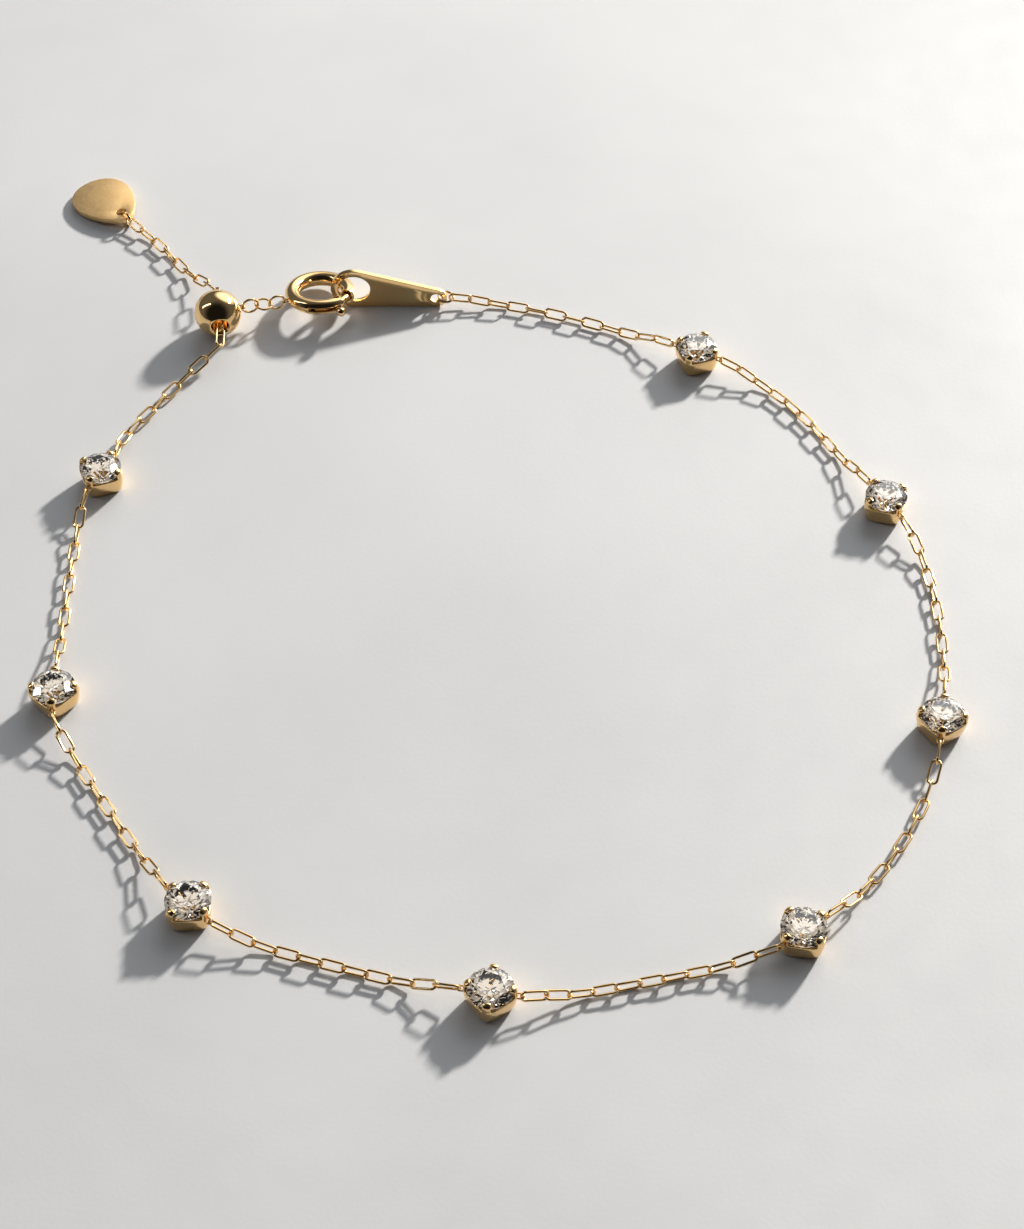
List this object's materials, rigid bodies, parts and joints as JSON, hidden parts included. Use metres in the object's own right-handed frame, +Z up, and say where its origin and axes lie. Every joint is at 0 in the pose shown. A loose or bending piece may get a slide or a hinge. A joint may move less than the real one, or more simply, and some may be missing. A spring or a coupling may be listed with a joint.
{
  "type": "chain bracelet",
  "caption": "Fine gold cable chain bracelet with claw-set round diamonds spaced evenly along it, a spring ring clasp on an end plate, and a slide bead and oval tag for adjusting it.",
  "frame": {"origin": "centre of the lying bracelet's outline, on the surface that it rests on", "axes": "+Z up out of the stones' tables, +Y towards the clasp, +X to the right of the clasp seen from above with the clasp at the top"},
  "size_m": [0.0552, 0.066, 0.003],
  "materials": {
    "gold": "polished yellow gold",
    "diamond": "faceted, clear"
  },
  "bodies": {
    "bracelet": {"setting_1": "gold", "setting_2": "gold", "setting_3": "gold", "setting_4": "gold", "setting_5": "gold", "setting_6": "gold", "setting_7": "gold", "setting_8": "gold", "stone_1": "diamond", "stone_2": "diamond", "stone_3": "diamond", "stone_4": "diamond", "stone_5": "diamond", "stone_6": "diamond", "stone_7": "diamond", "stone_8": "diamond", "chain_1_2": "gold", "chain_2_3": "gold", "chain_3_4": "gold", "chain_4_5": "gold", "chain_5_6": "gold", "chain_6_7": "gold", "chain_7_8": "gold", "plate_chain": "gold", "adjuster_chain": "gold", "connector_chain": "gold", "slide_bead": "gold", "clasp_ring": "gold", "clasp_plate": "gold", "plate_jump_ring": "gold", "tag_jump_ring": "gold", "tag_disc": "gold"},
    "trigger": {"clasp_trigger": "gold"}
  },
  "joints": [
    {"name": "trigger_turn", "type": "hinge", "parent": "bracelet", "child": "trigger", "pos_m": [-0.01042, 0.02102, 0.00109], "axis": [0, 0.2079, 0.9781], "range_deg": [-40, 0], "stiffness_Nm_per_rad": 0.004}
  ]
}
